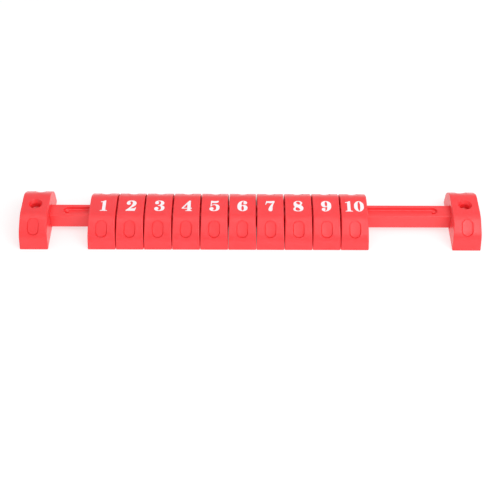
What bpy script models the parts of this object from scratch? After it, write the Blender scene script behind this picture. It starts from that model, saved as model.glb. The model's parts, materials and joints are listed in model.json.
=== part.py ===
"""Sliding-block counter: ten numbered blocks that slide along a rail between two screw-down end blocks.

Metres, +Z up. +X runs along the rail from number 1 to number 10 and -Y is the side that faces the reader.
The origin is on the underside, midway between the two end blocks.
"""

import math

import bmesh
import bpy
from mathutils import Matrix, Vector

# Whole counter
OVERALL_LENGTH = 0.300
BLOCK_COUNT = 10

# End profile: every block has the same top and slopes, and an end block stands on taller front and back bands
BLOCK_DEPTH = 0.0477
END_BLOCK_HEIGHT = 0.0188
NUMBER_BLOCK_HEIGHT = 0.0170
SLOPE_HEIGHT = 0.0078
BAND_INSET = 0.0020
CREASE_INSET = 0.0133
CREASE_RADIUS = 0.004
BAND_RADIUS = 0.014
ARC_STEPS = 4

# Widths along the rail, and where the row of number blocks stands
END_BLOCK_WIDTH = 0.0186
NUMBER_BLOCK_WIDTH = 0.01825
BLOCK_PITCH = 0.0183
ROW_LEFT_GAP = 0.02565
END_SIDE_DRAFT = 0.018
NUMBER_SIDE_DRAFT = 0.026
FLOOR_CLEARANCE = 0.0001

# Rail
RAIL_WIDTH = 0.0112
RAIL_HEIGHT = 0.0101
RAIL_BOTTOM = 0.0032
RAIL_CORNER_RADIUS = 0.0006
RAIL_END_INSET = 0.0024
GROOVE_WIDTH = 0.006
GROOVE_DEPTH = 0.0021
GROOVE_HALF_LENGTH = 0.123
CHANNEL_WIDTH = 0.006
CHANNEL_DEPTH = 0.0053
CHANNEL_HALF_LENGTH = 0.126
PIP_DIAMETER = 0.0019
PIP_HEIGHT = 0.0013
PIP_INSET = 0.0024
RAIL_CLEARANCE = 0.0003

# Screw holes through the end blocks and the rail ends
MOUTH_DIAMETER = 0.0090
SEAT_DIAMETER = 0.0066
SCREW_DIAMETER = 0.0045
COUNTERSINK_DIAMETER = 0.0064
ROUND_SEGMENTS = 32

# Finger recess in both slopes of each block, its floor sinking from the upper end to a ledge at the lower end
RECESS_WIDTH = 0.0075
RECESS_LENGTH = 0.0117
RECESS_DEPTH = 0.0008
RECESS_WALL = 0.00055
RECESS_UPPER_SHARE = 0.25
RECESS_WALL_RUN = 0.0001
RECESS_BELOW_CREASE = 0.0023
RECESS_RINGS = 3
RECESS_ARC_STEPS = 7

# Moulded walls
SHELL_WALL = 0.0022
TOP_WALL = 0.0028
SIDE_WALL = 0.0017
GUIDE_WALL = 0.0018
BRIDGE_CORE_WIDTH = 0.009
BRIDGE_THICKNESS = 0.0016

# Numerals
NUMERAL_HEIGHT = 0.0101
NUMERAL_RISE = 0.0002
NUMERAL_NARROWING = 0.94
NUMERAL_THICKNESS = 0.0002
NUMERAL_GAP = 0.00002
NUMERAL_RESOLUTION = 4
TEN_SPACING = 0.11

# How far to the right of the middle of their block the figures are printed
NUMERAL_SHIFTS = {1: 0.0007, 2: 0.0002, 3: 0.0005, 4: 0.0002, 7: -0.0003, 10: 0.0003}

RED = (0.86, 0.045, 0.05)
WHITE = (0.90, 0.90, 0.88)

HALF_LENGTH = OVERALL_LENGTH / 2
HALF_DEPTH = BLOCK_DEPTH / 2
INNER_FACE_X = HALF_LENGTH - END_BLOCK_WIDTH
END_BLOCK_X = HALF_LENGTH - END_BLOCK_WIDTH / 2
FIRST_BLOCK_X = -INNER_FACE_X + ROW_LEFT_GAP + NUMBER_BLOCK_WIDTH / 2
RAIL_TOP = RAIL_BOTTOM + RAIL_HEIGHT
RAIL_AXIS_HEIGHT = RAIL_BOTTOM + RAIL_HEIGHT / 2
RAIL_HALF_LENGTH = HALF_LENGTH - RAIL_END_INSET
WINDOW_HALF_WIDTH = RAIL_WIDTH / 2 + RAIL_CLEARANCE
WINDOW_BOTTOM = RAIL_BOTTOM - RAIL_CLEARANCE
WINDOW_TOP = RAIL_TOP + RAIL_CLEARANCE
GUIDE_HALF_WIDTH = WINDOW_HALF_WIDTH + GUIDE_WALL
OVERSHOOT = 0.002
SIDE_STEPS = 4

# Fat-face numerals, one unit tall, as closed outlines of knots (x, y, kind).
# Kind "s" is a smooth knot and kind "c" is a corner.
ONE = [[
    (0.00, 0.00, "c"), (0.50, 0.00, "c"), (0.50, 0.05, "c"), (0.385, 0.075, "s"), (0.36, 0.15, "c"),
    (0.36, 1.00, "c"), (0.27, 1.00, "c"), (0.16, 0.925, "s"), (0.01, 0.90, "c"), (0.01, 0.84, "c"),
    (0.14, 0.84, "c"), (0.14, 0.15, "c"), (0.115, 0.075, "s"), (0.00, 0.05, "c"),
]]
TWO = [[
    (0.00, 0.00, "c"), (0.63, 0.00, "c"), (0.70, 0.33, "c"), (0.64, 0.33, "c"), (0.59, 0.25, "s"),
    (0.45, 0.235, "s"), (0.28, 0.225, "c"), (0.47, 0.385, "s"), (0.64, 0.54, "s"), (0.70, 0.73, "s"),
    (0.61, 0.93, "s"), (0.37, 1.00, "s"), (0.13, 0.94, "s"), (0.03, 0.76, "s"), (0.07, 0.63, "s"),
    (0.18, 0.59, "s"), (0.28, 0.64, "s"), (0.30, 0.75, "s"), (0.235, 0.84, "c"), (0.33, 0.925, "s"),
    (0.43, 0.85, "s"), (0.44, 0.68, "s"), (0.33, 0.44, "s"), (0.00, 0.06, "c"),
]]
THREE = [[
    (0.35, 1.00, "s"), (0.58, 0.935, "s"), (0.665, 0.77, "s"), (0.61, 0.62, "s"), (0.49, 0.54, "c"),
    (0.65, 0.45, "s"), (0.70, 0.28, "s"), (0.60, 0.07, "s"), (0.33, 0.00, "s"), (0.09, 0.05, "s"),
    (0.00, 0.20, "s"), (0.045, 0.33, "s"), (0.15, 0.375, "s"), (0.26, 0.325, "s"), (0.285, 0.215, "s"),
    (0.215, 0.11, "c"), (0.33, 0.055, "s"), (0.44, 0.14, "s"), (0.46, 0.30, "s"), (0.395, 0.46, "s"),
    (0.23, 0.505, "c"), (0.23, 0.555, "c"), (0.375, 0.60, "s"), (0.43, 0.77, "s"), (0.40, 0.90, "s"),
    (0.31, 0.945, "s"), (0.235, 0.895, "c"), (0.295, 0.80, "s"), (0.26, 0.69, "s"), (0.16, 0.645, "s"),
    (0.06, 0.69, "s"), (0.03, 0.80, "s"), (0.12, 0.945, "s"),
]]
FOUR = [
    [
        (0.61, 1.00, "c"), (0.61, 0.30, "c"), (0.71, 0.30, "c"), (0.71, 0.23, "c"), (0.61, 0.23, "c"),
        (0.61, 0.12, "c"), (0.63, 0.07, "s"), (0.71, 0.05, "c"), (0.71, 0.00, "c"), (0.27, 0.00, "c"),
        (0.27, 0.05, "c"), (0.36, 0.07, "s"), (0.385, 0.12, "c"), (0.385, 0.23, "c"), (0.00, 0.23, "c"),
        (0.00, 0.30, "c"), (0.50, 1.00, "c"),
    ],
    [(0.385, 0.30, "c"), (0.385, 0.66, "c"), (0.12, 0.30, "c")],
]
FIVE = [[
    (0.10, 1.00, "c"), (0.37, 0.965, "s"), (0.63, 1.00, "c"), (0.60, 0.86, "s"), (0.45, 0.79, "s"),
    (0.16, 0.80, "c"), (0.145, 0.57, "c"), (0.25, 0.635, "s"), (0.39, 0.655, "s"), (0.61, 0.575, "s"),
    (0.70, 0.34, "s"), (0.60, 0.09, "s"), (0.33, 0.00, "s"), (0.09, 0.05, "s"), (0.00, 0.20, "s"),
    (0.045, 0.325, "s"), (0.15, 0.37, "s"), (0.26, 0.32, "s"), (0.285, 0.21, "s"), (0.215, 0.11, "c"),
    (0.33, 0.055, "s"), (0.44, 0.15, "s"), (0.465, 0.33, "s"), (0.42, 0.53, "s"), (0.31, 0.59, "s"),
    (0.19, 0.55, "s"), (0.12, 0.45, "c"), (0.065, 0.45, "c"),
]]
SIX = [
    [
        (0.40, 1.00, "s"), (0.14, 0.87, "s"), (0.00, 0.48, "s"), (0.10, 0.12, "s"), (0.36, 0.00, "s"),
        (0.60, 0.08, "s"), (0.70, 0.30, "s"), (0.62, 0.52, "s"), (0.44, 0.60, "s"), (0.28, 0.56, "c"),
        (0.29, 0.76, "s"), (0.34, 0.90, "s"), (0.42, 0.945, "s"), (0.46, 0.90, "c"), (0.41, 0.80, "s"),
        (0.45, 0.70, "s"), (0.55, 0.665, "s"), (0.64, 0.72, "s"), (0.67, 0.82, "s"), (0.58, 0.955, "s"),
    ],
    [(0.36, 0.055, "s"), (0.43, 0.14, "s"), (0.445, 0.29, "s"), (0.42, 0.44, "s"), (0.35, 0.52, "s"),
     (0.29, 0.44, "s"), (0.275, 0.29, "s"), (0.29, 0.14, "s")],
]
SEVEN = [[
    (0.09, 1.00, "c"), (0.13, 0.975, "s"), (0.20, 0.97, "s"), (0.645, 1.00, "c"), (0.655, 0.89, "c"),
    (0.56, 0.64, "s"), (0.505, 0.36, "s"), (0.50, 0.14, "s"), (0.44, 0.02, "s"), (0.32, 0.005, "s"),
    (0.235, 0.09, "s"), (0.24, 0.25, "s"), (0.34, 0.50, "s"), (0.52, 0.80, "c"), (0.35, 0.785, "s"),
    (0.16, 0.80, "s"), (0.085, 0.73, "s"), (0.065, 0.63, "c"), (0.00, 0.63, "c"),
]]
EIGHT = [
    [
        (0.34, 1.00, "s"), (0.56, 0.935, "s"), (0.635, 0.78, "s"), (0.56, 0.60, "s"), (0.66, 0.46, "s"),
        (0.70, 0.28, "s"), (0.60, 0.07, "s"), (0.34, 0.00, "s"), (0.09, 0.05, "s"), (0.00, 0.22, "s"),
        (0.10, 0.43, "s"), (0.045, 0.56, "s"), (0.03, 0.74, "s"), (0.12, 0.93, "s"),
    ],
    [(0.33, 0.945, "s"), (0.22, 0.89, "s"), (0.24, 0.76, "s"), (0.45, 0.655, "s"), (0.485, 0.80, "s"),
     (0.43, 0.91, "s")],
    [(0.33, 0.055, "s"), (0.185, 0.13, "s"), (0.165, 0.27, "s"), (0.22, 0.38, "s"), (0.455, 0.22, "s"),
     (0.46, 0.11, "s")],
]
ZERO = [
    [(0.335, 1.00, "s"), (0.09, 0.85, "s"), (0.00, 0.50, "s"), (0.09, 0.15, "s"), (0.335, 0.00, "s"),
     (0.58, 0.15, "s"), (0.67, 0.50, "s"), (0.58, 0.85, "s")],
    [(0.335, 0.94, "s"), (0.27, 0.80, "s"), (0.245, 0.50, "s"), (0.27, 0.20, "s"), (0.335, 0.06, "s"),
     (0.40, 0.20, "s"), (0.425, 0.50, "s"), (0.40, 0.80, "s")],
]


def half_turn(outlines):
    """The glyph turned upside down inside its own box, as 6 becomes 9."""
    width = max(x for outline in outlines for x, _, _ in outline)
    return [[(width - x, 1 - y, kind) for x, y, kind in outline] for outline in outlines]


NINE = half_turn(SIX)


def clear_scene():
    for obj in list(bpy.data.objects):
        bpy.data.objects.remove(obj, do_unlink=True)


def principled(name, colour, roughness):
    material = bpy.data.materials.new(name)
    material.use_nodes = True
    shader = material.node_tree.nodes["Principled BSDF"]
    shader.inputs["Base Color"].default_value = (*colour, 1)
    shader.inputs["Roughness"].default_value = roughness
    shader.inputs["Metallic"].default_value = 0
    material.diffuse_color = (*colour, 1)
    return material


def add_object(name, data):
    obj = bpy.data.objects.new(name, data)
    bpy.context.scene.collection.objects.link(obj)
    return obj


def as_helper(obj):
    obj.hide_render = True
    obj.display_type = "WIRE"
    return obj


def mesh_object(name, bm):
    bmesh.ops.recalc_face_normals(bm, faces=bm.faces)
    mesh = bpy.data.meshes.new(name)
    bm.to_mesh(mesh)
    bm.free()
    return add_object(name, mesh)


# Outlines in the plane across the rail, as (y, z) points that run from front to back over the top

def block_corners(height, bottom=0.0):
    band_height = height - SLOPE_HEIGHT
    front = [
        (-HALF_DEPTH + bottom * BAND_INSET / band_height, bottom),
        (-HALF_DEPTH + BAND_INSET, band_height),
        (-HALF_DEPTH + CREASE_INSET, height),
    ]
    return front + [(-y, z) for y, z in reversed(front)]


def offset_corners(corners, distance):
    """The corners moved inwards by the distance, apart from the open underside."""
    normals = []
    for (y0, z0), (y1, z1) in zip(corners, corners[1:]):
        length = math.hypot(y1 - y0, z1 - z0)
        normals.append(((z1 - z0) / length, (y0 - y1) / length))
    moved = [(corners[0][0] + distance / normals[0][0], corners[0][1])]
    for (y, z), (ny0, nz0), (ny1, nz1) in zip(corners[1:-1], normals, normals[1:]):
        scale = distance / (1 + ny0 * ny1 + nz0 * nz1)
        moved.append((y + scale * (ny0 + ny1), z + scale * (nz0 + nz1)))
    return moved + [(-moved[0][0], moved[0][1])]


def fillet(before, corner, after, radius, steps):
    """Points of the arc that rounds one corner."""
    corner = Vector(corner)
    towards_before = (Vector(before) - corner).normalized()
    towards_after = (Vector(after) - corner).normalized()
    half_angle = towards_before.angle(towards_after) / 2
    centre = corner + (towards_before + towards_after).normalized() * radius / math.sin(half_angle)
    start = corner + towards_before * radius / math.tan(half_angle) - centre
    turn = start.angle_signed(corner + towards_after * radius / math.tan(half_angle) - centre)
    points = []
    for step in range(steps + 1):
        arm = start.copy()
        arm.rotate(Matrix.Rotation(-turn * step / steps, 2))
        points.append(tuple(centre + arm))
    return points


def block_outline(corners):
    radii = [BAND_RADIUS, CREASE_RADIUS, CREASE_RADIUS, BAND_RADIUS]
    points = [corners[0]]
    for index, radius in enumerate(radii, start=1):
        points += fillet(corners[index - 1], corners[index], corners[index + 1], radius, ARC_STEPS)
    return points + [corners[-1]]


# Solids

def prism_along_x(name, outline, half_width, draft=0.0):
    """The outline run along X, its two side faces leaning together towards the top by the draft."""
    bm = bmesh.new()
    left = [bm.verts.new((-half_width + draft * z, y, z)) for y, z in outline]
    right = [bm.verts.new((half_width - draft * z, y, z)) for y, z in outline]
    bm.faces.new(left)
    bm.faces.new(right)
    for index in range(len(outline)):
        follower = (index + 1) % len(outline)
        bm.faces.new((left[index], left[follower], right[follower], right[index]))
    return mesh_object(name, bm)


def box(name, low, high):
    bm = bmesh.new()
    bmesh.ops.create_cube(bm, size=1)
    size = Vector(high) - Vector(low)
    bmesh.ops.scale(bm, vec=size, verts=bm.verts)
    bmesh.ops.translate(bm, vec=Vector(low) + size / 2, verts=bm.verts)
    return mesh_object(name, bm)


def stadium(half_length, half_width, steps):
    """A slot outline with full round ends, long along its first coordinate."""
    points = []
    for side in (1, -1):
        for step in range(steps + 1):
            angle = math.pi * step / steps - math.pi / 2
            along = side * (half_length - half_width + half_width * math.cos(angle))
            points.append((along, side * half_width * math.sin(angle)))
        for step in range(1, SIDE_STEPS):
            along = side * (half_length - half_width) * (1 - 2 * step / SIDE_STEPS)
            points.append((along, side * half_width))
    return points


def loft(name, rings):
    """A solid through rings of points, each ring with as many points as the next, closed at both ends."""
    bm = bmesh.new()
    loops = [[bm.verts.new(point) for point in ring] for ring in rings]
    bm.faces.new(loops[0])
    bm.faces.new(loops[-1])
    for lower, upper in zip(loops, loops[1:]):
        for index in range(len(lower)):
            follower = (index + 1) % len(lower)
            bm.faces.new((lower[index], lower[follower], upper[follower], upper[index]))
    return mesh_object(name, bm)


def upright_prism(name, outline, low, high):
    return loft(name, [[(x, y, z) for x, y in outline] for z in (low, high)])


def turned(name, x, rings):
    """A solid of round rings (radius, height), from the bottom up, on the upright line at x."""
    angles = [2 * math.pi * step / ROUND_SEGMENTS for step in range(ROUND_SEGMENTS)]
    return loft(name, [[(x + r * math.cos(a), r * math.sin(a), z) for a in angles] for r, z in rings])


def cut(target, tool):
    as_helper(tool)
    modifier = target.modifiers.new(tool.name, "BOOLEAN")
    modifier.operation = "DIFFERENCE"
    modifier.solver = "EXACT"
    modifier.object = tool


def finished_mesh(obj, name):
    """The object's mesh with its modifiers worked in."""
    graph = bpy.context.evaluated_depsgraph_get()
    mesh = bpy.data.meshes.new_from_object(obj.evaluated_get(graph))
    mesh.name = name
    mesh.shade_smooth()
    mesh.set_sharp_from_angle(angle=math.radians(25))
    return mesh


# Cutters for the blocks

def over_slope(side, height, x, distance, lift):
    """The point at a distance below one slope's crease, following the rounded lower corner, lifted off it."""
    foot, band, crease = [Vector((0, -side * y, z)) for y, z in block_corners(height)[:3]]
    down = (band - crease).normalized()
    outward = Vector((0, -side * down.z, side * down.y))
    straight = (band - crease).length - BAND_RADIUS * math.tan(down.angle(foot - band) / 2)
    turn = max(0, distance - straight) / BAND_RADIUS
    arm = outward * math.cos(turn) + down * math.sin(turn)
    start = crease + down * min(distance, straight)
    return start + Vector((x, 0, 0)) - outward * BAND_RADIUS + arm * (BAND_RADIUS + lift)


def recess_cutter(side, height):
    """The finger recess of one slope, as rings that widen from its dished floor and end above the slope."""
    floor_reach = RECESS_WIDTH / 2 - RECESS_WALL_RUN
    dish = RECESS_DEPTH - RECESS_WALL
    ball_radius = (floor_reach ** 2 + dish ** 2) / (2 * dish)
    profile = []
    for ring in range(1, RECESS_RINGS + 1):
        reach = floor_reach * ring / RECESS_RINGS
        profile.append((reach, ball_radius - RECESS_DEPTH - math.sqrt(ball_radius ** 2 - reach ** 2)))
    mouth_reach = floor_reach + 2 * RECESS_WALL_RUN
    profile += [(mouth_reach, RECESS_WALL), (mouth_reach, OVERSHOOT)]
    straight = (RECESS_LENGTH - RECESS_WIDTH) / 2
    middle = RECESS_BELOW_CREASE + RECESS_LENGTH / 2
    rings = []
    for reach, lift in profile:
        ring = []
        for along, across in stadium(straight + reach, reach, RECESS_ARC_STEPS):
            share = RECESS_UPPER_SHARE + (1 - RECESS_UPPER_SHARE) * (0.5 - along / RECESS_LENGTH)
            ring.append(over_slope(side, height, across, middle - along, share * lift))
        rings.append(ring)
    return loft(f"recess_{side}", rings)


def pocket_cutter(side, half_width, height, bottom):
    """The hollow between the slope's wall and the wall that guides the rail, open at the underside."""
    outer, band, crease = offset_corners(block_corners(height), SHELL_WALL)[:3]
    ceiling = height - TOP_WALL
    share = (ceiling - band[1]) / (crease[1] - band[1])
    shoulder = (band[0] + share * (crease[0] - band[0]), ceiling)
    outline = [
        (outer[0], bottom - OVERSHOOT),
        outer,
        band,
        shoulder,
        (-GUIDE_HALF_WIDTH, ceiling),
        (-GUIDE_HALF_WIDTH, bottom - OVERSHOOT),
    ]
    outline = [(-side * y, z) for y, z in outline]
    return prism_along_x(f"pocket_{side}", outline, half_width - SIDE_WALL)


def hollow_block(name, width, height, bottom, draft):
    """A block with its slopes, finger recesses and the pockets under its top wall."""
    outline = block_outline(block_corners(height, bottom))
    block = prism_along_x(name, outline, width / 2, draft)
    for side in (-1, 1):
        cut(block, recess_cutter(side, height))
        cut(block, pocket_cutter(side, width / 2, height, bottom))
    return block


def number_block_mesh():
    """One number block: open right through for the rail, with a thin bridge under it."""
    size = (NUMBER_BLOCK_WIDTH, NUMBER_BLOCK_HEIGHT, FLOOR_CLEARANCE)
    block = hollow_block("number_block", *size, NUMBER_SIDE_DRAFT)
    cut(block, box(
        "rail_window",
        (-NUMBER_BLOCK_WIDTH, -WINDOW_HALF_WIDTH, WINDOW_BOTTOM),
        (NUMBER_BLOCK_WIDTH, WINDOW_HALF_WIDTH, WINDOW_TOP),
    ))
    core_x = NUMBER_BLOCK_WIDTH / 2 - SIDE_WALL
    core_y = BRIDGE_CORE_WIDTH / 2
    cut(block, box(
        "bridge_core", (-core_x, -core_y, -OVERSHOOT), (core_x, core_y, WINDOW_BOTTOM - BRIDGE_THICKNESS)
    ))
    mesh = finished_mesh(block, "number_block_mesh")
    mesh.transform(Matrix.Translation((0, 0, -RAIL_AXIS_HEIGHT)))
    bpy.data.objects.remove(block, do_unlink=True)
    return mesh


def end_block(name, side):
    """An end block: a blind socket for the rail's end, and a screw hole with a seat and a flared mouth."""
    block = hollow_block(f"{name}_blank", END_BLOCK_WIDTH, END_BLOCK_HEIGHT, 0.0, END_SIDE_DRAFT)
    mouth = END_BLOCK_WIDTH / 2 + OVERSHOOT
    socket_end = RAIL_HALF_LENGTH + RAIL_CLEARANCE - END_BLOCK_X
    ends = sorted((-side * mouth, side * socket_end))
    cut(block, box(
        "rail_socket", (ends[0], -WINDOW_HALF_WIDTH, WINDOW_BOTTOM), (ends[1], WINDOW_HALF_WIDTH, WINDOW_TOP)
    ))
    flare = (MOUTH_DIAMETER - SEAT_DIAMETER) / 2
    cut(block, turned("screw_seat", 0, [
        (SEAT_DIAMETER / 2, RAIL_AXIS_HEIGHT),
        (SEAT_DIAMETER / 2, END_BLOCK_HEIGHT - flare),
        (MOUTH_DIAMETER / 2 + OVERSHOOT, END_BLOCK_HEIGHT + OVERSHOOT),
    ]))
    cut(block, turned("screw_hole", 0, [
        (SCREW_DIAMETER / 2, -OVERSHOOT), (SCREW_DIAMETER / 2, RAIL_AXIS_HEIGHT)
    ]))
    obj = add_object(name, finished_mesh(block, f"{name}_mesh"))
    bpy.data.objects.remove(block, do_unlink=True)
    obj.location.x = side * END_BLOCK_X
    return obj


def rail():
    """The bar that the blocks slide on: grooved on top with a pip near each end, cored out below, drilled."""
    half_width = RAIL_WIDTH / 2
    corners = [
        (-half_width, RAIL_BOTTOM), (-half_width, RAIL_TOP), (half_width, RAIL_TOP), (half_width, RAIL_BOTTOM)
    ]
    section = []
    for index, corner in enumerate(corners):
        section += fillet(corners[index - 1], corner, corners[(index + 1) % 4], RAIL_CORNER_RADIUS, 2)
    bar = prism_along_x("rail_blank", section, RAIL_HALF_LENGTH)
    groove_floor = RAIL_TOP - GROOVE_DEPTH
    groove_outline = stadium(GROOVE_HALF_LENGTH, GROOVE_WIDTH / 2, 8)
    groove = upright_prism("groove", groove_outline, groove_floor, RAIL_TOP + OVERSHOOT)
    for side in (-1, 1):
        cut(groove, turned(f"pip_{side}", side * (GROOVE_HALF_LENGTH - PIP_INSET), [
            (PIP_DIAMETER / 2, groove_floor - OVERSHOOT), (PIP_DIAMETER / 2, groove_floor + PIP_HEIGHT)
        ]))
    cut(bar, groove)
    channel = stadium(CHANNEL_HALF_LENGTH, CHANNEL_WIDTH / 2, 8)
    cut(bar, upright_prism("channel", channel, RAIL_BOTTOM - OVERSHOOT, RAIL_BOTTOM + CHANNEL_DEPTH))
    cone_depth = (COUNTERSINK_DIAMETER - SCREW_DIAMETER) / 2
    for side in (-1, 1):
        cut(bar, turned(f"countersink_{side}", side * END_BLOCK_X, [
            (SCREW_DIAMETER / 2, RAIL_BOTTOM - OVERSHOOT),
            (SCREW_DIAMETER / 2, RAIL_TOP - cone_depth),
            (COUNTERSINK_DIAMETER / 2, RAIL_TOP),
            (COUNTERSINK_DIAMETER / 2, RAIL_TOP + OVERSHOOT),
        ]))
    obj = add_object("rail", finished_mesh(bar, "rail_mesh"))
    bpy.data.objects.remove(bar, do_unlink=True)
    return obj


# Numerals

def glyph_width(outlines):
    return max(x for outline in outlines for x, _, _ in outline)


def numeral(name, outlines, left):
    """One printed figure as a thin plate, its left edge at the given share of its height from the origin."""
    curve = bpy.data.curves.new(name, "CURVE")
    curve.dimensions = "2D"
    curve.fill_mode = "BOTH"
    curve.extrude = NUMERAL_THICKNESS / 2
    curve.resolution_u = NUMERAL_RESOLUTION
    for outline in outlines:
        spline = curve.splines.new("BEZIER")
        spline.bezier_points.add(len(outline) - 1)
        spline.use_cyclic_u = True
        for point, (x, y, kind) in zip(spline.bezier_points, outline):
            point.co = ((x + left) * NUMERAL_HEIGHT * NUMERAL_NARROWING, (y - 0.5) * NUMERAL_HEIGHT, 0)
            point.handle_left_type = "AUTO" if kind == "s" else "VECTOR"
            point.handle_right_type = point.handle_left_type
    return add_object(name, curve)


def numerals_of(number):
    """(node name, outlines, left edge) of each figure of the number."""
    single = {1: ONE, 2: TWO, 3: THREE, 4: FOUR, 5: FIVE, 6: SIX, 7: SEVEN, 8: EIGHT, 9: NINE}
    if number in single:
        outlines = single[number]
        return [(f"numeral_{number}", outlines, -glyph_width(outlines) / 2)]
    width = glyph_width(ONE) + TEN_SPACING + glyph_width(ZERO)
    zero_left = -width / 2 + glyph_width(ONE) + TEN_SPACING
    return [("numeral_10_one", ONE, -width / 2), ("numeral_10_zero", ZERO, zero_left)]


def number_block(number, mesh, plastic, ink):
    block = add_object(f"number_block_{number}", mesh)
    block.location = (FIRST_BLOCK_X + (number - 1) * BLOCK_PITCH, 0, RAIL_AXIS_HEIGHT)
    block.data.materials.clear()
    block.data.materials.append(plastic)
    plate_height = NUMBER_BLOCK_HEIGHT - RAIL_AXIS_HEIGHT + NUMERAL_GAP + NUMERAL_THICKNESS / 2
    for name, outlines, left in numerals_of(number):
        figure = numeral(name, outlines, left)
        figure.data.materials.append(ink)
        figure.parent = block
        figure.location = (NUMERAL_SHIFTS.get(number, 0), NUMERAL_RISE, plate_height)


def drop_helpers():
    for obj in list(bpy.data.objects):
        if obj.hide_render:
            bpy.data.objects.remove(obj, do_unlink=True)


def main():
    clear_scene()
    rail().data.materials.append(principled("rail_plastic", RED, 0.42))
    end_plastic = principled("end_block_plastic", RED, 0.42)
    for name, side in (("left_end_block", -1), ("right_end_block", 1)):
        end_block(name, side).data.materials.append(end_plastic)
    block_mesh = number_block_mesh()
    block_plastic = principled("number_block_plastic", RED, 0.42)
    ink = principled("numeral_ink", WHITE, 0.5)
    for number in range(1, BLOCK_COUNT + 1):
        number_block(number, block_mesh, block_plastic, ink)
    drop_helpers()


main()
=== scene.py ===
"""Looks of the sliding-block counter: moulded blocks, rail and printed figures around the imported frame.

Metres, +Z up, +X along the rail from number 1 to number 10, and -Y the side that faces the reader.
"""

import json
import math

import bmesh
import bpy
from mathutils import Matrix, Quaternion, Vector


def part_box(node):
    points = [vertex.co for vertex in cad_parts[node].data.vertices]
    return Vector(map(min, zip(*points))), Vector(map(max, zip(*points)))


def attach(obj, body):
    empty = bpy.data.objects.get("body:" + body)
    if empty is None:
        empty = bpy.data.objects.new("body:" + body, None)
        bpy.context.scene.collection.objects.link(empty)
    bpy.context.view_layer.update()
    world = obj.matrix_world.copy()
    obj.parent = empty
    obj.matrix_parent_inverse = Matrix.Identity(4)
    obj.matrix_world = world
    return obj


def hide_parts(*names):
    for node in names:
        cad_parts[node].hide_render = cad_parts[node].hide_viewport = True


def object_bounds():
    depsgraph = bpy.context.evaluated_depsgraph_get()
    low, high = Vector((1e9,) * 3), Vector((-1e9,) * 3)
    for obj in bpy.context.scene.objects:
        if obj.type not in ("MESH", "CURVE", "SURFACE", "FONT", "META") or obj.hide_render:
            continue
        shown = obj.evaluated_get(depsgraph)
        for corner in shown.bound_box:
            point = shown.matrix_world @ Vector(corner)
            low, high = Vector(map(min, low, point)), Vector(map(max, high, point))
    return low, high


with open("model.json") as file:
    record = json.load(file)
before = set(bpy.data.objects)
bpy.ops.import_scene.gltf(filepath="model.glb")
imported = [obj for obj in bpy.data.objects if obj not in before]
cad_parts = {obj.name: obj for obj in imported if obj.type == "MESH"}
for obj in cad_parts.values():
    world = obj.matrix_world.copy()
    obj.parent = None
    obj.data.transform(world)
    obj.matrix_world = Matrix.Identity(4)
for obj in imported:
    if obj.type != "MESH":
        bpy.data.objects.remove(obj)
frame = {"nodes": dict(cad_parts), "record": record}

CAD_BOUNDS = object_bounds()

# What the frame gives
BLOCK_COUNT = sum(1 for name in frame["nodes"] if name.startswith("number_block_"))
END_LOW, END_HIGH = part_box("right_end_block")
NUMBER_LOW, NUMBER_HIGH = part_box("number_block_1")
RAIL_LOW, RAIL_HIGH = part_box("rail")
HALF_DEPTH = END_HIGH.y
END_WIDTH = END_HIGH.x - END_LOW.x
NUMBER_WIDTH = NUMBER_HIGH.x - NUMBER_LOW.x
END_BLOCK_X = (END_LOW.x + END_HIGH.x) / 2
RAIL_AXIS_HEIGHT = (RAIL_LOW.z + RAIL_HIGH.z) / 2

# End profile of the blocks: an upright band at the foot, a slope, and a crease to the flat top
SLOPE_HEIGHT = 0.0078
BAND_INSET = 0.0020
CREASE_INSET = 0.0133
FOOT_RADIUS = 0.0002
SHARPEST_RADIUS = FOOT_RADIUS / 8
BAND_RADIUS = 0.010
CREASE_RADIUS = 0.013
EDGE_RADIUS = 0.0007
END_SIDE_DRAFT = 0.018
NUMBER_SIDE_DRAFT = 0.026

# Finger recess in each slope, its floor sinking from the upper end to a ledge at the lower end,
# with a fine moat round the floor that draws its outline
RECESS_WIDTH = 0.0075
RECESS_LENGTH = 0.0117
RECESS_DEPTH = 0.0008
RECESS_WALL = 0.00055
RECESS_UPPER_SHARE = 0.25
RECESS_WALL_SLOPE = math.radians(82)
RECESS_BELOW_CREASE = 0.0023
RECESS_LIP = 0.00006
RECESS_MOAT_WIDTH = 0.00045
RECESS_MOAT_WALL_RUN = RECESS_MOAT_WIDTH / 4
RECESS_MOAT_DEPTH = 0.0006
RECESS_RINGS = 8
RECESS_FIRST_RING = 0.1

# Walls round the pockets under the blocks
SHELL_WALL = 0.0022
TOP_WALL = 0.0028
SIDE_WALL = 0.0017
GUIDE_WALL = 0.0018
BRIDGE_CORE_WIDTH = 0.009
BRIDGE_THICKNESS = 0.0016
POCKET_RADIUS = 0.0006

# Rail, and the openings that it runs through
RAIL_CLEARANCE = 0.0003
RAIL_EDGE_RADIUS = 0.0007
GROOVE_WIDTH = 0.006
GROOVE_DEPTH = 0.0021
GROOVE_HALF_LENGTH = 0.123
GROOVE_FLOOR_RADIUS = 0.0008
CHANNEL_WIDTH = 0.006
CHANNEL_DEPTH = 0.0053
CHANNEL_HALF_LENGTH = 0.126
SLOT_LIP = 0.0004
PIP_DIAMETER = 0.0019
PIP_HEIGHT = 0.0013
PIP_INSET = 0.0024
PIP_RADIUS = 0.0003
OPENING_RADIUS = 0.0004
OPENING_LEAD = 0.0003
OPENING_LEAD_RUN = 2 * OPENING_LEAD

# Screw holes
MOUTH_DIAMETER = 0.0090
SEAT_DIAMETER = 0.0066
SCREW_DIAMETER = 0.0045
COUNTERSINK_DIAMETER = 0.0064
MOUTH_LIP = 0.0003
MOUTH_SLOPE = math.radians(62)

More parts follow.
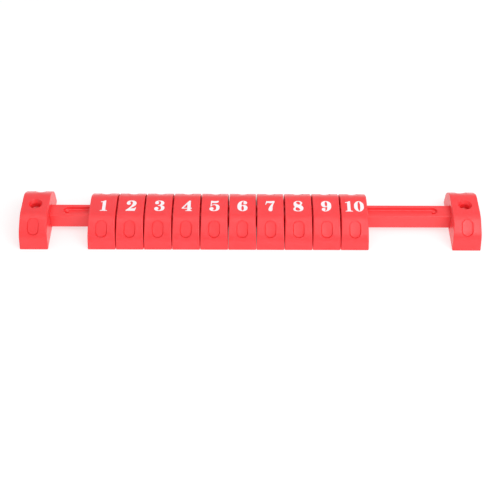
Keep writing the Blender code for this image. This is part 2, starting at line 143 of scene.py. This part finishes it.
# Printed figures
INK_THICKNESS = 0.00008
INK_REFINEMENTS = 2
CORNER_ANGLE = math.radians(28)
FIGURE_WELD = 0.000001
FACES_UP = 0.5

# How finely curves are divided
ARC_STEPS = 10
EDGE_STEPS = 5
LIP_STEPS = 5
END_STEPS = 20
SIDE_STEPS = 8
ROUND_SEGMENTS = 64
LIP_END_ANGLE = math.radians(6)
SLIVER = 0.000002
SHARP_ANGLE = math.radians(22)

# How far cutters reach past the faces that they open
OVERSHOOT = 0.002

# Surfaces: each noise as (scale, detail) or (scale, detail, roughness), in object space
NOISE_LOW = 0.3
NOISE_HIGH = 0.7
COARSE_MOTTLE = (90, 3)
FINE_MOTTLE = (1400, 2)
FINE_MOTTLE_SHARE = 0.35
GLOSS_NOISE = (420, 4)
WAVE_NOISE = (130, 1)
WAVE_DEPTH = 0.0004
WAVE_STRENGTH = 0.10
GRAIN_NOISE = (4200, 3, 0.6)
GRAIN_DEPTH = 0.00005
PLASTIC_IOR = 1.5
SCATTER_RADIUS = (1.0, 0.10, 0.08)
SCATTER_SCALE = 0.0010

# Floor and light, each softbox as (place, size, power)
FLOOR_REACH = 3
FLOOR_COLOUR = (0.42, 0.42, 0.42, 1)
FLOOR_ROUGHNESS = 0.9
FLOOR_GLOW = 0.62
WHITE = (1, 1, 1, 1)
WORLD_STRENGTH = 0.66
SOFTBOXES = {
    "key_softbox": ((0.50, -0.50, 0.62), (0.5, 0.8), 3.8),
    "top_softbox": ((0, -0.05, 0.85), (1.0, 0.5), 1.5),
}

# Camera
VIEW_ELEVATION = math.radians(42.34)
VIEW_ROLL = math.radians(0.17)
VIEW_DISTANCE = 0.7753
AIM = Vector((0, -0.0100, 0.0139))
SENSOR_WIDTH = 36
LENS = 85.68
SHIFT = (-0.0005, -0.06)


# Outlines, as points in a plane

def block_corners(height, bottom=0.0):
    """Corners (y, z) of a block's end profile, from its front foot over the top to its back foot."""
    band_height = height - SLOPE_HEIGHT
    front = [
        (-HALF_DEPTH + bottom * BAND_INSET / band_height, bottom),
        (-HALF_DEPTH + BAND_INSET, band_height),
        (-HALF_DEPTH + CREASE_INSET, height),
    ]
    return front + [(-y, z) for y, z in reversed(front)]


def rectangle(low, high):
    return [(low[0], low[1]), (low[0], high[1]), (high[0], high[1]), (high[0], low[1])]


def rounded(corners, radii, inset=0.0):
    """The closed convex outline of the corners, moved inwards by the inset, with an arc at each corner."""
    points = []
    for index, corner_radius in enumerate(radii):
        before, corner, after = (Vector(corners[(index + shift) % len(corners)]) for shift in (-1, 0, 1))
        radius = max(corner_radius, inset + SHARPEST_RADIUS)
        back = (before - corner).normalized()
        onward = (after - corner).normalized()
        half_angle = back.angle(onward) / 2
        centre = corner + (back + onward).normalized() * radius / math.sin(half_angle)
        start = (corner + back * radius / math.tan(half_angle) - centre).normalized()
        end = (corner + onward * radius / math.tan(half_angle) - centre).normalized()
        turn = start.angle(end)
        for step in range(ARC_STEPS + 1):
            share = step / ARC_STEPS
            arm = start * math.sin((1 - share) * turn) + end * math.sin(share * turn)
            points.append(centre + arm * (radius - inset) / math.sin(turn))
    return points


def stadium(straight, radius):
    """A slot outline with full round ends, long along its first coordinate."""
    points = []
    for side in (1, -1):
        for step in range(END_STEPS + 1):
            angle = math.pi * step / END_STEPS - math.pi / 2
            points.append((side * (straight + radius * math.cos(angle)), side * radius * math.sin(angle)))
        for step in range(1, SIDE_STEPS):
            points.append((side * straight * (1 - 2 * step / SIDE_STEPS), side * radius))
    return points


def eased_lip(reach, slope, radius):
    """(reach, height) points that round the edge where a wall of that slope meets a flat face."""
    centre = reach + radius * math.tan(slope / 2)
    points = []
    for step in range(LIP_STEPS + 1):
        angle = slope + (LIP_END_ANGLE - slope) * step / LIP_STEPS
        points.append((centre - radius * math.sin(angle), radius * (math.cos(angle) - 1)))
    last_reach, last_height = points[-1]
    beyond = (
        last_reach + OVERSHOOT * math.cos(LIP_END_ANGLE),
        last_height + OVERSHOOT * math.sin(LIP_END_ANGLE),
    )
    return points + [beyond]


# Solids

def mesh_object(name, bm):
    bmesh.ops.recalc_face_normals(bm, faces=bm.faces)
    mesh = bpy.data.meshes.new(name)
    bm.to_mesh(mesh)
    bm.free()
    obj = bpy.data.objects.new(name, mesh)
    bpy.context.scene.collection.objects.link(obj)
    return obj


def loft(name, rings):
    """A solid through rings of points, each with as many points as the next, closed at both ends."""
    bm = bmesh.new()
    loops = [[bm.verts.new(point) for point in ring] for ring in rings]
    bm.faces.new(loops[0])
    bm.faces.new(loops[-1])
    for lower, upper in zip(loops, loops[1:]):
        for index in range(len(lower)):
            follower = (index + 1) % len(lower)
            bm.faces.new((lower[index], lower[follower], upper[follower], upper[index]))
    return mesh_object(name, bm)


def moulding(name, corners, radii, half_width, edge_radius, draft=0.0):
    """An outline (y, z) run along X, the edges of its two side faces rounded and those faces drafted."""
    quarter = [math.pi / 2 * step / EDGE_STEPS for step in range(EDGE_STEPS + 1)]
    stations = [(-1, angle) for angle in quarter] + [(1, angle) for angle in reversed(quarter)]
    rings = []
    for side, angle in stations:
        x = side * (half_width - edge_radius * (1 - math.cos(angle)))
        outline = rounded(corners, radii, edge_radius * (1 - math.sin(angle)))
        rings.append([(x - side * draft * z, y, z) for y, z in outline])
    return loft(name, rings)


def opening(name, low, high, stations):
    """A cutter along X for a rounded rectangle, as (x, how much wider than the rectangle) stations."""
    corners = rectangle(low, high)
    radii = [OPENING_RADIUS] * 4
    return loft(name, [[(x, y, z) for y, z in rounded(corners, radii, -wider)] for x, wider in stations])


def turned(name, x, profile):
    """A solid of round rings (radius, height), from the bottom up, on the upright line at x."""
    angles = [2 * math.pi * step / ROUND_SEGMENTS for step in range(ROUND_SEGMENTS)]
    return loft(name, [[(x + r * math.cos(a), r * math.sin(a), z) for a in angles] for r, z in profile])


def slot_cutter(name, half_length, width, depth, face_height, opens):
    """A cutter for a round-ended slot that opens upwards (1) or downwards (-1) through a flat face."""
    half_width = width / 2
    wall = []
    for step in range(EDGE_STEPS + 1):
        angle = math.pi / 2 * step / EDGE_STEPS
        reach = half_width - GROOVE_FLOOR_RADIUS * (1 - math.sin(angle))
        wall.append((reach, GROOVE_FLOOR_RADIUS * (1 - math.cos(angle)) - depth))
    wall += eased_lip(half_width, math.pi / 2, SLOT_LIP)
    straight = half_length - half_width
    return loft(name, [[(x, y, face_height + opens * z) for x, y in stadium(straight, r)] for r, z in wall])


def combined(target, tools, additions=()):
    """The mesh of the target after the tools are cut from it and the additions joined to it."""
    for operation, others in (("DIFFERENCE", tools), ("UNION", additions)):
        for other in others:
            modifier = target.modifiers.new(other.name, "BOOLEAN")
            modifier.operation = operation
            modifier.solver = "EXACT"
            modifier.object = other
    graph = bpy.context.evaluated_depsgraph_get()
    mesh = bpy.data.meshes.new_from_object(target.evaluated_get(graph))
    for obj in (target, *tools, *additions):
        bpy.data.objects.remove(obj, do_unlink=True)
    return mesh


def tidy(mesh):
    """Removes the slivers that the cuts leave, and shades the mesh smooth up to its true edges."""
    bm = bmesh.new()
    bm.from_mesh(mesh)
    bmesh.ops.remove_doubles(bm, verts=bm.verts, dist=SLIVER)
    bmesh.ops.dissolve_degenerate(bm, dist=SLIVER, edges=bm.edges)
    bm.to_mesh(mesh)
    bm.free()
    mesh.shade_smooth()
    mesh.set_sharp_from_angle(angle=SHARP_ANGLE)
    return mesh


# The blocks

def over_slope(side, height, x, distance, lift):
    """The point at a distance below one slope's crease, following its two rounded corners, lifted off it."""
    foot, band, crease = [Vector((0, -side * y, z)) for y, z in block_corners(height)[:3]]
    down = (band - crease).normalized()
    outward = Vector((0, -side * down.z, side * down.y))
    first = CREASE_RADIUS * math.tan(Vector((0, side, 0)).angle(down) / 2)
    last = (band - crease).length - BAND_RADIUS * math.tan(down.angle(foot - band) / 2)
    start = min(max(distance, first), last)
    radius = CREASE_RADIUS if distance < first else BAND_RADIUS
    turn = (distance - start) / radius
    arm = outward * math.cos(turn) + down * math.sin(turn)
    return crease + down * start + Vector((x, 0, 0)) - outward * radius + arm * (radius + lift)


def recess_cutter(side, height):
    """The finger recess of one slope, as rings that widen from its floor and end in a rounded lip."""
    floor_reach = RECESS_WIDTH / 2 - RECESS_WALL / math.tan(RECESS_WALL_SLOPE)
    dish = RECESS_DEPTH - RECESS_WALL
    ball_radius = (floor_reach ** 2 + dish ** 2) / (2 * dish)
    profile = []
    for ring in [RECESS_FIRST_RING, *range(1, RECESS_RINGS + 1)]:
        reach = floor_reach * ring / RECESS_RINGS
        profile.append((reach, ball_radius - RECESS_DEPTH - math.sqrt(ball_radius ** 2 - reach ** 2)))
    profile.insert(-1, (floor_reach - RECESS_MOAT_WIDTH, -RECESS_WALL))
    profile[-1] = (floor_reach - RECESS_MOAT_WALL_RUN, -RECESS_WALL - RECESS_MOAT_DEPTH)
    profile += eased_lip(RECESS_WIDTH / 2, RECESS_WALL_SLOPE, RECESS_LIP)
    profile.append((profile[-1][0], OVERSHOOT))
    straight = (RECESS_LENGTH - RECESS_WIDTH) / 2
    middle = RECESS_BELOW_CREASE + RECESS_LENGTH / 2
    rings = []
    for reach, lift in profile:
        ring = []
        for along, across in stadium(straight, reach):
            share = RECESS_UPPER_SHARE + (1 - RECESS_UPPER_SHARE) * (0.5 - along / RECESS_LENGTH)
            ring.append(over_slope(side, height, across, middle - along, share * lift))
        rings.append(ring)
    return loft(f"recess_{side}", rings)


def pocket_cutter(side, half_width, height, bottom):
    """The hollow between the slope's wall and the wall that guides the rail, open at the underside."""
    outer, band, crease = [Vector(corner) for corner in block_corners(height, bottom)[:3]]
    band_in = Vector((SHELL_WALL, 0))
    slope_in = SHELL_WALL * Vector((crease.y - band.y, band.x - crease.x)).normalized()
    ceiling = height - TOP_WALL
    guide = -(RAIL_HIGH.y + RAIL_CLEARANCE + GUIDE_WALL)
    foot = outer + band_in
    slope = (crease - band).normalized()
    share = (ceiling - band.y - slope_in.y) / slope.y
    shoulder = band + slope_in + share * slope
    drop = Vector((0, bottom - OVERSHOOT - foot.y))
    outline = [
        foot + drop,
        band + band_in + Vector((0, slope_in.y)),
        shoulder,
        (guide, ceiling),
        (guide, (foot + drop).y),
    ]
    corners = [(-side * y, z) for y, z in outline]
    radii = [POCKET_RADIUS] * len(corners)
    return moulding(f"pocket_{side}", corners, radii, half_width - SIDE_WALL, POCKET_RADIUS)


def block_body(width, height, bottom, draft):
    """A block's rounded skin and the cutters that both kinds of block share."""
    radii = [FOOT_RADIUS, BAND_RADIUS, CREASE_RADIUS, CREASE_RADIUS, BAND_RADIUS, FOOT_RADIUS]
    skin = moulding("block", block_corners(height, bottom), radii, width / 2, EDGE_RADIUS, draft)
    tools = [recess_cutter(side, height) for side in (-1, 1)]
    tools += [pocket_cutter(side, width / 2, height, bottom) for side in (-1, 1)]
    return skin, tools


def rail_room():
    """Lowest and highest (y, z) of the space that a block leaves round the rail."""
    room = Vector((RAIL_CLEARANCE, RAIL_CLEARANCE))
    return Vector((RAIL_LOW.y, RAIL_LOW.z)) - room, Vector((RAIL_HIGH.y, RAIL_HIGH.z)) + room


def number_block_mesh():
    """A number block round the origin in X: open right through for the rail, with a thin bridge under it."""
    bottom = NUMBER_LOW.z
    skin, tools = block_body(NUMBER_WIDTH, NUMBER_HIGH.z, bottom, NUMBER_SIDE_DRAFT)
    half_width = NUMBER_WIDTH / 2
    low, high = rail_room()
    stations = [(-half_width - OVERSHOOT, OPENING_LEAD + OVERSHOOT), (-half_width, OPENING_LEAD)]
    stations += [(-half_width + OPENING_LEAD_RUN, 0), (half_width - OPENING_LEAD_RUN, 0)]
    stations += [(half_width, OPENING_LEAD), (half_width + OVERSHOOT, OPENING_LEAD + OVERSHOOT)]
    window = opening("rail_window", low, high, stations)
    core_low = (-BRIDGE_CORE_WIDTH / 2, bottom - OVERSHOOT)
    core_high = (BRIDGE_CORE_WIDTH / 2, low.y - BRIDGE_THICKNESS)
    corners = rectangle(core_low, core_high)
    core = moulding("bridge_core", corners, [POCKET_RADIUS] * 4, half_width - SIDE_WALL, POCKET_RADIUS)
    return tidy(combined(skin, [*tools, window, core]))


def end_block_mesh(side):
    """An end block round the origin in X: a blind socket for the rail's end, and the upright screw hole."""
    height = END_HIGH.z
    skin, tools = block_body(END_WIDTH, height, 0.0, END_SIDE_DRAFT)
    half_width = END_WIDTH / 2
    low, high = rail_room()
    socket_end = RAIL_HIGH.x + RAIL_CLEARANCE - END_BLOCK_X
    stations = [
        (-side * (half_width + OVERSHOOT), OPENING_LEAD + OVERSHOOT),
        (-side * half_width, OPENING_LEAD),
        (-side * (half_width - OPENING_LEAD_RUN), 0),
        (side * socket_end, 0),
    ]
    socket = opening("rail_socket", low, high, stations)
    flare = (MOUTH_DIAMETER - SEAT_DIAMETER) / 2 * math.tan(MOUTH_SLOPE)
    seat = [(SEAT_DIAMETER / 2, RAIL_AXIS_HEIGHT), (SEAT_DIAMETER / 2, height - flare)]
    seat += [(reach, height + rise) for reach, rise in eased_lip(MOUTH_DIAMETER / 2, MOUTH_SLOPE, MOUTH_LIP)]
    hole = [(SCREW_DIAMETER / 2, -OVERSHOOT), (SCREW_DIAMETER / 2, RAIL_AXIS_HEIGHT + OVERSHOOT)]
    tools += [socket, turned("screw_seat", 0, seat), turned("screw_hole", 0, hole)]
    return tidy(combined(skin, tools))


def pip_profile(groove_floor):
    """(radius, height) rings of a pip that stands in the groove, its top edge rounded."""
    radius = PIP_DIAMETER / 2
    top = groove_floor + PIP_HEIGHT
    rings = [(radius, groove_floor - PIP_HEIGHT)]
    for step in range(EDGE_STEPS + 1):
        angle = math.pi / 2 * step / EDGE_STEPS
        reach = radius - PIP_RADIUS * (1 - math.cos(angle))
        rings.append((reach, top - PIP_RADIUS * (1 - math.sin(angle))))
    return rings


def rail_mesh():
    """The bar that the blocks slide on: grooved on top with a pip near each end, cored out below, drilled."""
    corners = rectangle((RAIL_LOW.y, RAIL_LOW.z), (RAIL_HIGH.y, RAIL_HIGH.z))
    bar = moulding("bar", corners, [RAIL_EDGE_RADIUS] * 4, RAIL_HIGH.x, RAIL_EDGE_RADIUS)
    tools = [
        slot_cutter("groove", GROOVE_HALF_LENGTH, GROOVE_WIDTH, GROOVE_DEPTH, RAIL_HIGH.z, 1),
        slot_cutter("channel", CHANNEL_HALF_LENGTH, CHANNEL_WIDTH, CHANNEL_DEPTH, RAIL_LOW.z, -1),
    ]
    cone = (COUNTERSINK_DIAMETER - SCREW_DIAMETER) / 2
    groove_floor = RAIL_HIGH.z - GROOVE_DEPTH
    pips = []
    for side in (-1, 1):
        pips.append(turned(f"pip_{side}", side * (GROOVE_HALF_LENGTH - PIP_INSET), pip_profile(groove_floor)))
        tools.append(turned(f"countersink_{side}", side * END_BLOCK_X, [
            (SCREW_DIAMETER / 2, RAIL_LOW.z - OVERSHOOT),
            (SCREW_DIAMETER / 2, RAIL_HIGH.z - cone),
            (COUNTERSINK_DIAMETER / 2 + OVERSHOOT, RAIL_HIGH.z + OVERSHOOT),
        ]))
    return tidy(combined(bar, tools, pips))


# The printed figures

def face_outlines(node):
    """The outlines (x, y) of a figure's upper face, each a closed list of points in order."""
    bm = bmesh.new()
    bm.from_mesh(frame["nodes"][node].data)
    bmesh.ops.remove_doubles(bm, verts=bm.verts, dist=FIGURE_WELD)
    bm.normal_update()
    follower = {}
    for face in bm.faces:
        if face.normal.z < FACES_UP:
            continue
        for loop in face.loops:
            if any(other.normal.z < FACES_UP for other in loop.edge.link_faces):
                follower[loop.vert.index] = loop.link_loop_next.vert.index
    places = {vert.index: Vector((vert.co.x, vert.co.y)) for vert in bm.verts}
    bm.free()
    outlines = []
    while follower:
        first = min(follower)
        chain = [first]
        while follower[chain[-1]] != first:
            chain.append(follower[chain[-1]])
        outlines.append([places[index] for index in chain])
        for index in chain:
            del follower[index]
    return outlines


def refined(outline):
    """The outline with a new point between each two by the four-point rule, its sharp corners kept."""
    count = len(outline)
    corner = []
    for index, point in enumerate(outline):
        arriving = point - outline[index - 1]
        leaving = outline[(index + 1) % count] - point
        corner.append(arriving.angle(leaving, 0) > CORNER_ANGLE)
    points = []
    for index, point in enumerate(outline):
        after = outline[(index + 1) % count]
        before = 2 * point - after if corner[index] else outline[index - 1]
        beyond = 2 * after - point if corner[(index + 1) % count] else outline[(index + 2) % count]
        points += [point, (9 * (point + after) - before - beyond) / 16]
    return points


def ink_mesh(node, base):
    """The figure of a CAD node as a thin film of ink on the face at that height."""
    curve = bpy.data.curves.new(node, "CURVE")
    curve.dimensions = "2D"
    curve.fill_mode = "BOTH"
    curve.extrude = INK_THICKNESS / 2
    for outline in face_outlines(node):
        for _ in range(INK_REFINEMENTS):
            outline = refined(outline)
        spline = curve.splines.new("POLY")
        spline.points.add(len(outline) - 1)
        spline.use_cyclic_u = True
        for target, point in zip(spline.points, outline):
            target.co = (point.x, point.y, 0, 1)
    obj = bpy.data.objects.new(node, curve)
    bpy.context.scene.collection.objects.link(obj)
    graph = bpy.context.evaluated_depsgraph_get()
    mesh = bpy.data.meshes.new_from_object(obj.evaluated_get(graph))
    bpy.data.objects.remove(obj, do_unlink=True)
    for vert in mesh.vertices:
        vert.co.z += base + INK_THICKNESS / 2
    return mesh


# Materials

def add_node(tree, kind, **settings):
    node = tree.nodes.new(kind)
    for name, value in settings.items():
        setattr(node, name, value)
    return node


def noise(tree, place, scale, detail, roughness=0.5):
    """The value of a noise texture at a place."""
    node = add_node(tree, "ShaderNodeTexNoise")
    node.inputs["Scale"].default_value = scale
    node.inputs["Detail"].default_value = detail
    node.inputs["Roughness"].default_value = roughness
    tree.links.new(place, node.inputs["Vector"])
    return node.outputs["Fac"]


def blended(tree, amount, low, high):
    """A colour between two, as the amount goes through the middle of the noise's range."""
    ramp = add_node(tree, "ShaderNodeValToRGB")
    for element, position, colour in zip(ramp.color_ramp.elements, (NOISE_LOW, NOISE_HIGH), (low, high)):
        element.position = position
        element.color = (*colour, 1)
    tree.links.new(amount, ramp.inputs["Fac"])
    return ramp.outputs["Color"]


def ranged(tree, amount, low, high):
    """A number between two, as the amount goes through the middle of the noise's range."""
    node = add_node(tree, "ShaderNodeMapRange")
    node.inputs["From Min"].default_value = NOISE_LOW
    node.inputs["From Max"].default_value = NOISE_HIGH
    node.inputs["To Min"].default_value = low
    node.inputs["To Max"].default_value = high
    tree.links.new(amount, node.inputs["Value"])
    return node.outputs["Result"]


def averaged(tree, first, second, share):
    node = add_node(tree, "ShaderNodeMix", data_type="FLOAT")
    node.inputs["Factor"].default_value = share
    tree.links.new(first, node.inputs["A"])
    tree.links.new(second, node.inputs["B"])
    return node.outputs["Result"]


def bumped(tree, height, distance, strength, below=None):
    node = add_node(tree, "ShaderNodeBump")
    node.inputs["Distance"].default_value = distance
    node.inputs["Strength"].default_value = strength
    tree.links.new(height, node.inputs["Height"])
    if below is not None:
        tree.links.new(below, node.inputs["Normal"])
    return node.outputs["Normal"]


def surface(name, low, high, gloss, grain, stretch=(1, 1, 1), specular=0.5, depth=0.0):
    """A moulded or printed surface: mottled colour, uneven gloss, fine grain and slight waviness."""
    material = bpy.data.materials.new(name)
    material.use_nodes = True
    tree = material.node_tree
    shader = tree.nodes["Principled BSDF"]
    mapping = add_node(tree, "ShaderNodeMapping")
    mapping.inputs["Scale"].default_value = stretch
    tree.links.new(add_node(tree, "ShaderNodeTexCoord").outputs["Object"], mapping.inputs["Vector"])
    place = mapping.outputs["Vector"]
    coarse = noise(tree, place, *COARSE_MOTTLE)
    mottle = averaged(tree, coarse, noise(tree, place, *FINE_MOTTLE), FINE_MOTTLE_SHARE)
    tree.links.new(blended(tree, mottle, low, high), shader.inputs["Base Color"])
    tree.links.new(ranged(tree, noise(tree, place, *GLOSS_NOISE), *gloss), shader.inputs["Roughness"])
    waves = bumped(tree, noise(tree, place, *WAVE_NOISE), WAVE_DEPTH, WAVE_STRENGTH)
    relief = bumped(tree, noise(tree, place, *GRAIN_NOISE), GRAIN_DEPTH, grain, waves)
    tree.links.new(relief, shader.inputs["Normal"])
    shader.inputs["IOR"].default_value = PLASTIC_IOR
    shader.inputs["Specular IOR Level"].default_value = specular
    shader.inputs["Subsurface Weight"].default_value = depth
    shader.inputs["Subsurface Radius"].default_value = SCATTER_RADIUS
    shader.inputs["Subsurface Scale"].default_value = SCATTER_SCALE
    return material


MATERIALS = {
    "rail_plastic": surface(
        "rail_plastic",
        low=(0.93, 0.042, 0.048),
        high=(0.96, 0.048, 0.054),
        gloss=(0.30, 0.38),
        grain=0.10,
        stretch=(0.3, 1, 1),
        specular=0.65,
        depth=0.25,
    ),
    "end_block_plastic": surface(
        "end_block_plastic",
        low=(0.925, 0.041, 0.047),
        high=(0.965, 0.050, 0.057),
        gloss=(0.28, 0.38),
        grain=0.35,
        depth=0.25,
    ),
    "number_block_plastic": surface(
        "number_block_plastic",
        low=(0.925, 0.045, 0.052),
        high=(0.965, 0.055, 0.064),
        gloss=(0.28, 0.38),
        grain=0.35,
        depth=0.45,
    ),
    "numeral_ink": surface(
        "numeral_ink",
        low=(0.90, 0.85, 0.88),
        high=(0.97, 0.92, 0.95),
        gloss=(0.42, 0.58),
        grain=0.6,
    ),
}


# Pieces

def add_piece(name, mesh, body, slot, node):
    mesh.name = name
    mesh.materials.clear()
    mesh.materials.append(MATERIALS[slot])
    obj = bpy.data.objects.new(name, mesh)
    bpy.context.scene.collection.objects.link(obj)
    weighted = obj.modifiers.new("even_faces", "WEIGHTED_NORMAL")
    weighted.keep_sharp = True
    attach(obj, body)
    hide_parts(node)


def moved(mesh, x):
    """A copy of the mesh, moved along the rail."""
    copy = mesh.copy()
    for vert in copy.vertices:
        vert.co.x += x
    return copy


def build_rail_and_ends():
    add_piece("moulded_rail", rail_mesh(), "rail_and_ends", "rail_plastic", "rail")
    for side, name in ((-1, "left_end_block"), (1, "right_end_block")):
        mesh = moved(end_block_mesh(side), side * END_BLOCK_X)
        add_piece(f"moulded_{name}", mesh, "rail_and_ends", "end_block_plastic", name)


def build_number_blocks():
    mesh = number_block_mesh()
    for number in range(1, BLOCK_COUNT + 1):
        body = f"block_{number}"
        node = f"number_block_{number}"
        low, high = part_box(node)
        add_piece(f"moulded_{node}", moved(mesh, (low.x + high.x) / 2), body, "number_block_plastic", node)
        for figure in frame["record"]["behaviour"]["bodies"][body]:
            if figure != node:
                add_piece(f"printed_{figure}", ink_mesh(figure, high.z), body, "numeral_ink", figure)


# Stage

def build_floor():
    bm = bmesh.new()
    bmesh.ops.create_grid(bm, x_segments=1, y_segments=1, size=FLOOR_REACH)
    floor = mesh_object("floor", bm)
    floor.location.z = CAD_BOUNDS[0][2]
    material = bpy.data.materials.new("floor")
    material.use_nodes = True
    shader = material.node_tree.nodes["Principled BSDF"]
    shader.inputs["Base Color"].default_value = FLOOR_COLOUR
    shader.inputs["Roughness"].default_value = FLOOR_ROUGHNESS
    shader.inputs["Emission Color"].default_value = WHITE
    shader.inputs["Emission Strength"].default_value = FLOOR_GLOW
    floor.data.materials.append(material)


def add_softbox(name, place, size, power):
    light = bpy.data.lights.new(name, "AREA")
    light.shape = "RECTANGLE"
    light.size, light.size_y = size
    light.energy = power
    obj = bpy.data.objects.new(name, light)
    bpy.context.scene.collection.objects.link(obj)
    obj.location = place
    obj.rotation_mode = "QUATERNION"
    obj.rotation_quaternion = (AIM - obj.location).to_track_quat("-Z", "Y")


def build_light():
    world = bpy.data.worlds.new("studio")
    world.use_nodes = True
    world.node_tree.nodes["Background"].inputs["Color"].default_value = WHITE
    world.node_tree.nodes["Background"].inputs["Strength"].default_value = WORLD_STRENGTH
    bpy.context.scene.world = world
    for name, (place, size, power) in SOFTBOXES.items():
        add_softbox(name, place, size, power)
    bpy.context.scene.view_settings.view_transform = "Standard"


def build_camera():
    camera = bpy.data.objects.new("camera", bpy.data.cameras.new("camera"))
    bpy.context.scene.collection.objects.link(camera)
    camera.data.sensor_width = SENSOR_WIDTH
    camera.data.lens = LENS
    camera.data.shift_x, camera.data.shift_y = SHIFT
    view = Vector((0, math.cos(VIEW_ELEVATION), -math.sin(VIEW_ELEVATION)))
    camera.location = AIM - VIEW_DISTANCE * view
    camera.rotation_mode = "QUATERNION"
    camera.rotation_quaternion = view.to_track_quat("-Z", "Z") @ Quaternion((0, 0, 1), VIEW_ROLL)
    bpy.context.scene.camera = camera


build_camera()
build_light()
build_floor()
build_rail_and_ends()
build_number_blocks()
